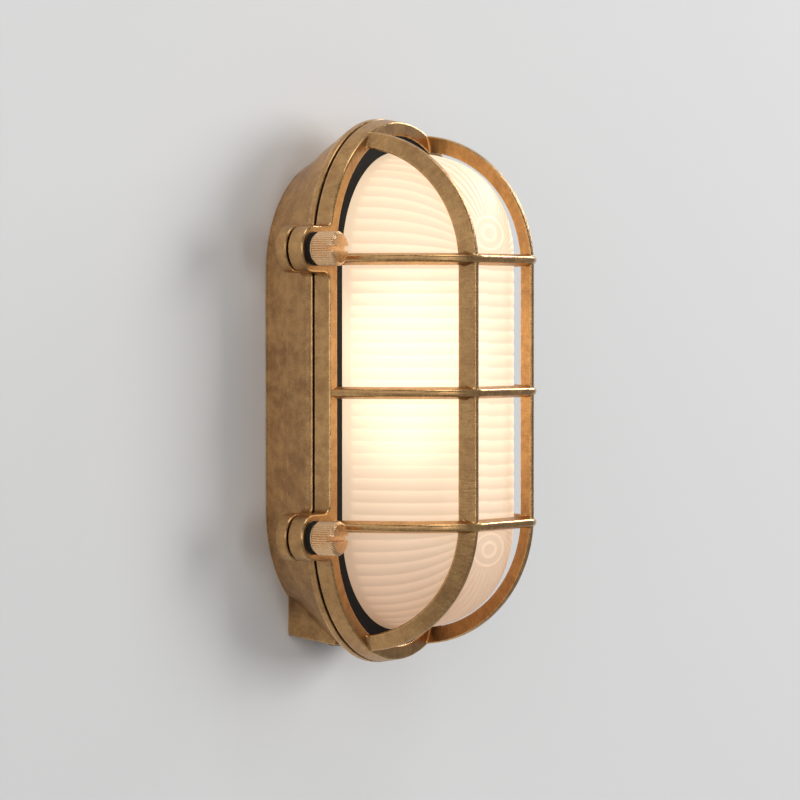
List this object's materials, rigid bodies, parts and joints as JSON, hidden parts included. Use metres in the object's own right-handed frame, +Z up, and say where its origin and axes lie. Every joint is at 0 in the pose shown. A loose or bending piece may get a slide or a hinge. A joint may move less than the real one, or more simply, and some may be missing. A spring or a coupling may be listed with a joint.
{
  "type": "wall light",
  "caption": "Obround cast brass wall light: ribbed frosted glass dome behind a guard of bars and hoops, clamped to its base by knurled thumbscrews.",
  "frame": {"origin": "centre of the base casting's flat back, on the wall", "axes": "+Z up along the long way, -Y out from the wall, +X to the right seen from the front"},
  "size_m": [0.152, 0.0874, 0.226],
  "materials": {
    "cast_brass": "aged, as cast",
    "turned_brass": "machined satin",
    "black_rubber": "matt",
    "frosted_glass": "frosted, ribbed inside",
    "black_nylon": "moulded",
    "white_nylon": "moulded",
    "zinc_steel": "zinc plated",
    "porcelain": "glazed ceramic",
    "opal_lamp": "opal",
    "brown_wire": "wire insulation",
    "blue_wire": "wire insulation",
    "green_wire": "wire insulation"
  },
  "bodies": {
    "base": {"base_side_upper": "cast_brass", "base_side_lower": "cast_brass", "base_back": "cast_brass", "body_seal": "black_rubber", "cable_gland": "black_nylon", "gland_seal": "black_rubber", "lamp_bracket": "zinc_steel", "bracket_screws": "zinc_steel", "holder_body": "porcelain", "holder_shell": "turned_brass", "holder_contact": "turned_brass", "holder_screws": "zinc_steel", "lamp": "opal_lamp", "terminal_block": "white_nylon", "terminal_screws": "turned_brass", "terminal_fixing": "zinc_steel", "earth_screw": "turned_brass", "earth_tag": "zinc_steel", "live_lead": "brown_wire", "neutral_lead": "blue_wire", "earth_lead": "green_wire"},
    "guard": {"guard_frame": "cast_brass", "guard_cage": "cast_brass", "glass_gasket": "black_rubber", "glass_dome": "frosted_glass"},
    "washer_upper_left": {"washer_upper_left": "black_rubber"},
    "screw_upper_left": {"thumbscrew_upper_left": "turned_brass"},
    "washer_upper_right": {"washer_upper_right": "black_rubber"},
    "screw_upper_right": {"thumbscrew_upper_right": "turned_brass"},
    "washer_lower_left": {"washer_lower_left": "black_rubber"},
    "screw_lower_left": {"thumbscrew_lower_left": "turned_brass"},
    "washer_lower_right": {"washer_lower_right": "black_rubber"},
    "screw_lower_right": {"thumbscrew_lower_right": "turned_brass"}
  },
  "joints": [
    {"name": "guard_lift", "type": "slide", "parent": "base", "child": "guard", "axis": [0, -1, 0], "range_m": [0, 0.05]},
    {"name": "travel_upper_left", "type": "slide", "parent": "guard", "child": "washer_upper_left", "axis": [0, -1, 0], "range_m": [0, 0.0064]},
    {"name": "turn_upper_left", "type": "hinge", "parent": "washer_upper_left", "child": "screw_upper_left", "pos_m": [-0.0666, -0.036, 0.0582], "axis": [0, -1, 0], "range_deg": [0, 2880]},
    {"name": "travel_upper_right", "type": "slide", "parent": "guard", "child": "washer_upper_right", "axis": [0, -1, 0], "range_m": [0, 0.0064]},
    {"name": "turn_upper_right", "type": "hinge", "parent": "washer_upper_right", "child": "screw_upper_right", "pos_m": [0.0666, -0.036, 0.0582], "axis": [0, -1, 0], "range_deg": [0, 2880]},
    {"name": "travel_lower_left", "type": "slide", "parent": "guard", "child": "washer_lower_left", "axis": [0, -1, 0], "range_m": [0, 0.0064]},
    {"name": "turn_lower_left", "type": "hinge", "parent": "washer_lower_left", "child": "screw_lower_left", "pos_m": [-0.0666, -0.036, -0.0582], "axis": [0, -1, 0], "range_deg": [0, 2880]},
    {"name": "travel_lower_right", "type": "slide", "parent": "guard", "child": "washer_lower_right", "axis": [0, -1, 0], "range_m": [0, 0.0064]},
    {"name": "turn_lower_right", "type": "hinge", "parent": "washer_lower_right", "child": "screw_lower_right", "pos_m": [0.0666, -0.036, -0.0582], "axis": [0, -1, 0], "range_deg": [0, 2880]}
  ],
  "couplings": [
    {"joint": "travel_upper_left", "follows": "turn_upper_left", "m_per_rad": 0.0001273},
    {"joint": "travel_upper_right", "follows": "turn_upper_right", "m_per_rad": 0.0001273},
    {"joint": "travel_lower_left", "follows": "turn_lower_left", "m_per_rad": 0.0001273},
    {"joint": "travel_lower_right", "follows": "turn_lower_right", "m_per_rad": 0.0001273}
  ]
}
